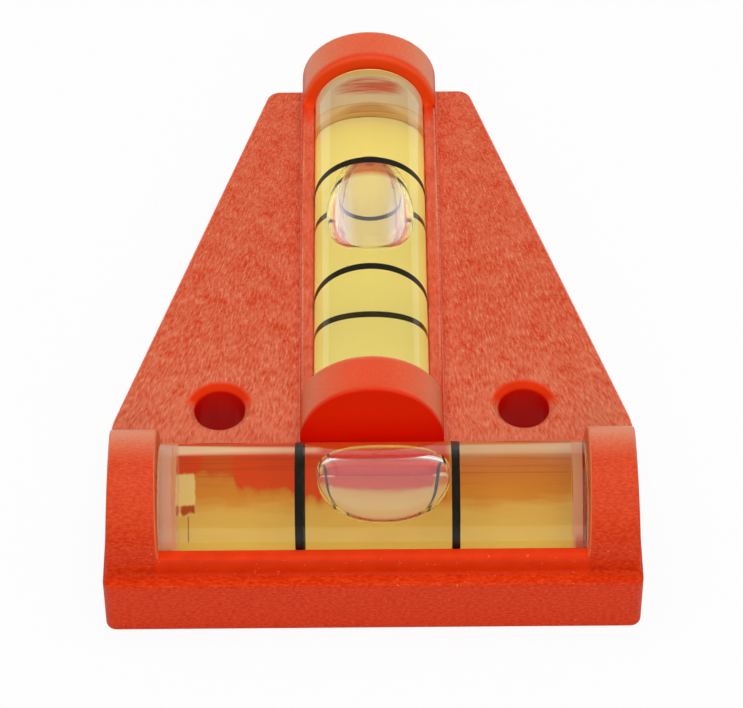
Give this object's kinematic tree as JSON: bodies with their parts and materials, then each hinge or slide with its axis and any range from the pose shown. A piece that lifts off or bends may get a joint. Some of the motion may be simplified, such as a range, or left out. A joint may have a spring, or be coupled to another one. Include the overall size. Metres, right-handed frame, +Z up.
{
  "type": "bubble level",
  "caption": "T-shaped bubble level: a flat moulded base that tapers to the back, with tubular vials set crosswise and lengthwise to show level in both directions",
  "frame": {"origin": "centre of the base's bounding box in plan, on its underside", "axes": "+X to the right along the wide front edge, +Y from the wide front edge to the narrow back edge, +Z up out of the base"},
  "size_m": [0.0452, 0.0594, 0.014],
  "materials": {
    "plastic": "moulded, faintly grained and scuffed",
    "acrylic": "clear, polished",
    "liquid": "clear yellow liquid",
    "air": "bubble surface",
    "ink": "printed black",
    "adhesive": "cured cream adhesive"
  },
  "bodies": {
    "root": {"housing": "plastic", "transverse_vial_barrel": "acrylic", "transverse_vial_plug": "acrylic", "transverse_vial_liquid": "liquid", "transverse_vial_line_left": "ink", "transverse_vial_line_right": "ink", "transverse_vial_adhesive_left": "adhesive", "transverse_vial_adhesive_right": "adhesive", "longitudinal_vial_barrel": "acrylic", "longitudinal_vial_plug": "acrylic", "longitudinal_vial_liquid": "liquid", "longitudinal_vial_line_far": "ink", "longitudinal_vial_line_near": "ink", "longitudinal_vial_adhesive_far": "adhesive", "longitudinal_vial_adhesive_near": "adhesive"},
    "transverse_bubble": {"transverse_vial_bubble": "air"},
    "longitudinal_bubble": {"longitudinal_vial_bubble": "air"}
  },
  "joints": [
    {"name": "transverse_bubble_slide", "type": "slide", "parent": "root", "child": "transverse_bubble", "axis": [1, 0, 0], "range_m": [-0.0106, 0.0096], "stiffness_N_per_m": 0.05},
    {"name": "longitudinal_bubble_slide", "type": "slide", "parent": "root", "child": "longitudinal_bubble", "axis": [0, 1, 0], "range_m": [-0.0125, 0.0077], "stiffness_N_per_m": 0.05}
  ]
}
